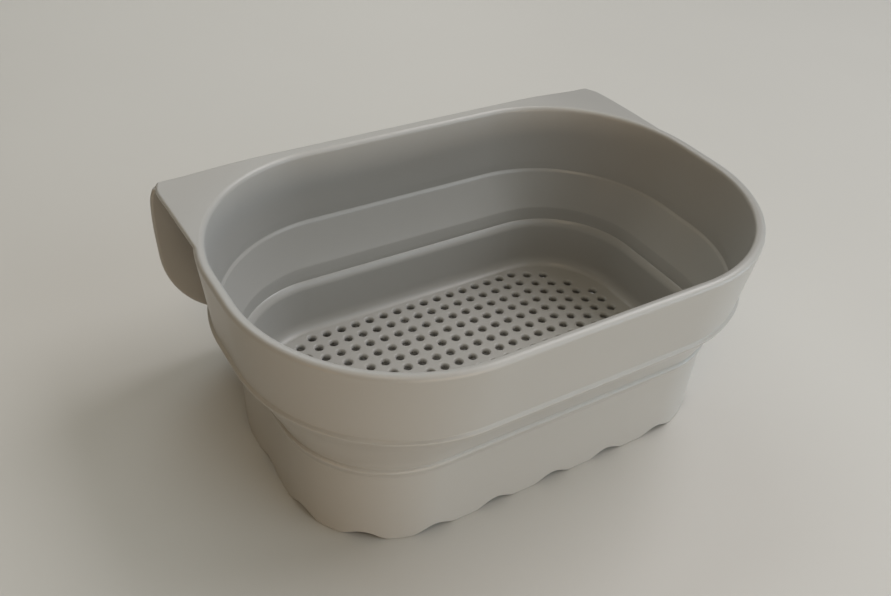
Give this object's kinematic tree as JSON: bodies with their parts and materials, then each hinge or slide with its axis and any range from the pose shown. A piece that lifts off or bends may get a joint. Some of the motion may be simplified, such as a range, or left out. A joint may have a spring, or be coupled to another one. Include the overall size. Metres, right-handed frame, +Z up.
{
  "type": "folding sink basket",
  "caption": "Oblong folding drain basket with a perforated floor, a wavy foot skirt, a soft fold in its wall, and a flat back flange with a hanging flap that goes over a sink's edge.",
  "frame": {"origin": "on the table, under the middle of the object's box", "axes": "+X along the basket's long side, +Y towards the back flange and flap, +Z up"},
  "size_m": [0.2994, 0.206, 0.124],
  "materials": {
    "wall_silicone": "matte",
    "fold_silicone": "matte"
  },
  "bodies": {
    "frame": {"upper_frame": "wall_silicone", "back_flange": "wall_silicone", "hook_bend": "wall_silicone", "upper_hinge": "fold_silicone", "fold_band": "fold_silicone", "lower_hinge": "fold_silicone"},
    "hook": {"hook_plate": "wall_silicone"},
    "tub": {"lower_tub": "wall_silicone", "strainer_floor": "wall_silicone"}
  },
  "joints": [
    {"name": "collapse", "type": "slide", "parent": "frame", "child": "tub", "axis": [0, 0, 1], "range_m": [0, 0.059], "deforming": ["upper_hinge", "fold_band", "lower_hinge"]},
    {"name": "hook_flex", "type": "hinge", "parent": "frame", "child": "hook", "pos_m": [0, 0.09915, 0.12], "axis": [1, 0, 0], "range_deg": [0, 35], "stiffness_Nm_per_rad": 0.4, "deforming": ["hook_bend"]}
  ]
}
